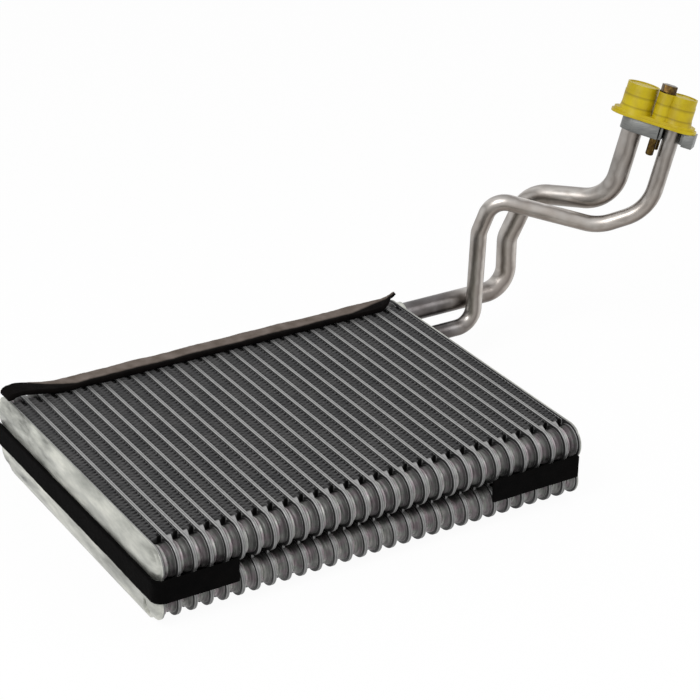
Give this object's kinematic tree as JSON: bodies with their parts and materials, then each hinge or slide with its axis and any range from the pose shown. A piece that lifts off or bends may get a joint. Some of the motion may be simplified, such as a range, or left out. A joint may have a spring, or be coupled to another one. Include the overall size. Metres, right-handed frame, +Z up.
{
  "type": "evaporator core",
  "caption": "Flat plate-and-fin evaporator core with tank cups along both ends, foam sealing strips, and two bent pipes that rise to a capped joint block.",
  "frame": {"origin": "middle of the underside of the core, on the lower edges of the stamped plates", "axes": "+X across the tubes towards the pipes, +Y along the tubes away from the front tanks, +Z up through the depth of the core"},
  "size_m": [0.5375, 0.2583, 0.2273],
  "materials": {
    "tube": "matt brazed",
    "fin": "matt coated, dark between the folds",
    "end_plate": "matt brazed, scuffed",
    "side_foam": "open cell foam",
    "back_foam": "open cell foam with a felt skin",
    "suction_pipe": "satin drawn",
    "liquid_pipe": "satin drawn",
    "joint_block": "milled",
    "cap": "moulded, slightly waxy",
    "bolt": "yellow passivated",
    "pin": "passivated",
    "ring": "smooth"
  },
  "bodies": {
    "root": {"tube_01": "tube", "tube_02": "tube", "tube_03": "tube", "tube_04": "tube", "tube_05": "tube", "tube_06": "tube", "tube_07": "tube", "tube_08": "tube", "tube_09": "tube", "tube_10": "tube", "tube_11": "tube", "tube_12": "tube", "tube_13": "tube", "tube_14": "tube", "tube_15": "tube", "tube_16": "tube", "tube_17": "tube", "tube_18": "tube", "tube_19": "tube", "tube_20": "tube", "tube_21": "tube", "tube_22": "tube", "tube_23": "tube", "tube_24": "tube", "tube_25": "tube", "tube_26": "tube", "tube_27": "tube", "fin_pair_01": "fin", "fin_pair_02": "fin", "fin_pair_03": "fin", "fin_pair_04": "fin", "fin_pair_05": "fin", "fin_pair_06": "fin", "fin_pair_07": "fin", "fin_pair_08": "fin", "fin_pair_09": "fin", "fin_pair_10": "fin", "fin_pair_11": "fin", "fin_pair_12": "fin", "fin_pair_13": "fin", "fin_pair_14": "fin", "end_plate_left": "end_plate", "end_plate_right": "end_plate", "inner_plate_left": "tube", "inner_plate_right": "tube", "foam_left": "side_foam", "foam_right": "side_foam", "foam_back": "back_foam", "suction_pipe": "suction_pipe", "liquid_pipe": "liquid_pipe", "joint_block": "joint_block", "protective_cap": "cap", "clamp_bolt": "bolt", "locating_pin": "pin", "suction_ring": "ring", "liquid_ring": "ring"}
  },
  "joints": []
}
